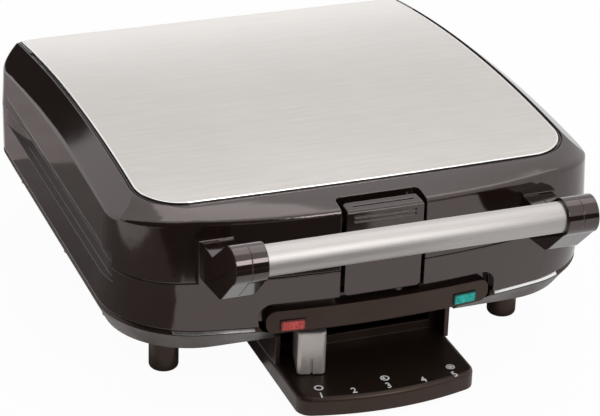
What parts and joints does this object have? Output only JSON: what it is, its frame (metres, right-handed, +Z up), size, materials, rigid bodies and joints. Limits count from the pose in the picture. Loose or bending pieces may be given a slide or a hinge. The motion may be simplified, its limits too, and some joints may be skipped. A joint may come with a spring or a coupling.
{
  "type": "waffle maker",
  "caption": "Square countertop waffle maker with a hinged crowned lid in brushed steel, a bar handle, a front latch tile and a swinging browning lever over a marked shelf.",
  "frame": {"origin": "on the table, under the middle of the bounding box of the closed machine", "axes": "+X to the machine's own right seen from behind the handle (the viewer's right from the front), +Y from the handle to the hinge, +Z up"},
  "size_m": [0.29, 0.365, 0.127],
  "materials": {
    "black_gloss": "glossy black moulded plastic",
    "black_satin": "satin black moulded plastic",
    "brushed_sheet": "fine brushed stainless steel",
    "tube_steel": "satin brushed stainless steel",
    "knob_grey": "satin silver-grey paint",
    "red_lens": "translucent red lens",
    "green_lens": "translucent blue-green lens",
    "plate_coating": "dark non-stick coated aluminium casting",
    "steel": "bright plated steel",
    "reflector_tin": "bright aluminium sheet",
    "element_sheath": "dull grey heater sheath",
    "rubber": "matte black rubber",
    "phenolic": "cream heat-proof moulding"
  },
  "bodies": {
    "base": {"base_housing": "black_gloss", "bottom_cover": "black_gloss", "feet": "black_satin", "foot_pads": "rubber", "lower_waffle_plate": "plate_coating", "lower_heating_element": "element_sheath", "lower_element_clips": "steel", "lower_reflector": "reflector_tin", "hinge_pins": "steel", "cord_gland": "rubber", "terminal_block": "phenolic", "thermal_fuse": "steel", "thermostat": "phenolic", "control_shelf": "black_satin", "control_panel": "black_satin", "red_lamp_lens": "red_lens", "green_lamp_lens": "green_lens", "latch_pin": "steel", "latch_return_leaf": "steel", "cover_screws": "steel", "lower_plate_screws": "steel"},
    "lid": {"lid_housing": "black_gloss", "cover_sheet": "brushed_sheet", "upper_waffle_plate": "plate_coating", "upper_heating_element": "element_sheath", "upper_element_clips": "steel", "upper_reflector": "reflector_tin", "left_handle_bracket": "black_satin", "right_handle_bracket": "black_satin", "left_handle_cap": "black_satin", "right_handle_cap": "black_satin", "handle_tube": "tube_steel", "handle_bolts": "steel", "upper_plate_screws": "steel", "latch_catch_leaf": "steel"},
    "latch": {"latch_tile": "black_gloss"},
    "lever": {"thermostat_spindle": "steel", "lever_arm": "steel", "lever_knob": "knob_grey"}
  },
  "joints": [
    {"name": "lid_hinge", "type": "hinge", "parent": "base", "child": "lid", "pos_m": [0, 0.176, 0.081], "axis": [-1, 0, 0], "range_deg": [0, 105], "deforming": ["latch_catch_leaf"]},
    {"name": "latch_pivot", "type": "hinge", "parent": "base", "child": "latch", "pos_m": [0, -0.126, 0.07], "axis": [1, 0, 0], "range_deg": [0, 12], "stiffness_Nm_per_rad": 0.25, "deforming": ["latch_return_leaf"]},
    {"name": "lever_swing", "type": "hinge", "parent": "base", "child": "lever", "pos_m": [0, 0.023, 0], "axis": [0, 0, 1], "range_deg": [0, 28]}
  ]
}
